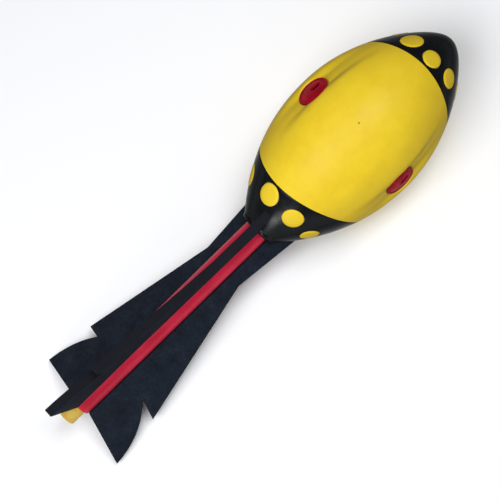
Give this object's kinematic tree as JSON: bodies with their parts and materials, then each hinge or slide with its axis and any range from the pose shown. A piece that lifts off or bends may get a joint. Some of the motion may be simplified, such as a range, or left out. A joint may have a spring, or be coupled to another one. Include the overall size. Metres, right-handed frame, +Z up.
{
  "type": "vortex throwing toy",
  "caption": "Foam throwing toy with an oval ball, whistles sunk in its sides, and a tail of foam fins on a sleeved core.",
  "frame": {"origin": "middle of the bounding box's base, on the floor that the toy lies on", "axes": "+X along the toy, towards the nose; +Z up; +Y to the toy's left. The toy lies as it comes to rest, on its ball and the tail tips of the two lower fins, so its own axis is tilted nose up by 4.5 degrees."},
  "size_m": [0.3264, 0.0878, 0.0882],
  "materials": {
    "foam_inside": "open foam, hidden under the coats",
    "black_coat": "smooth skin on foam, satin",
    "yellow_coat": "smooth skin on foam, satin",
    "red_plastic": "moulded, semi-gloss",
    "red_sleeve": "thin extruded sleeve, satin",
    "straw_foam": "extruded foam, matte",
    "black_foam": "cut foam sheet, matte"
  },
  "bodies": {
    "root": {"foam_ball": "foam_inside", "nose_coat": "black_coat", "band_coat": "yellow_coat", "rear_coat": "black_coat", "nose_spot_1": "yellow_coat", "nose_spot_2": "yellow_coat", "nose_spot_3": "yellow_coat", "nose_spot_4": "yellow_coat", "nose_spot_5": "yellow_coat", "nose_spot_6": "yellow_coat", "nose_spot_7": "yellow_coat", "nose_spot_8": "yellow_coat", "rear_spot_1": "yellow_coat", "rear_spot_2": "yellow_coat", "rear_spot_3": "yellow_coat", "rear_spot_4": "yellow_coat", "rear_spot_5": "yellow_coat", "rear_spot_6": "yellow_coat", "rear_spot_7": "yellow_coat", "rear_spot_8": "yellow_coat", "whistle_cup_1": "red_plastic", "whistle_cap_1": "red_plastic", "whistle_cup_2": "red_plastic", "whistle_cap_2": "red_plastic", "whistle_cup_3": "red_plastic", "whistle_cap_3": "red_plastic", "core_rod": "straw_foam", "core_sleeve": "red_sleeve", "fin_top": "black_foam", "fin_right": "black_foam", "fin_left": "black_foam"}
  },
  "joints": []
}
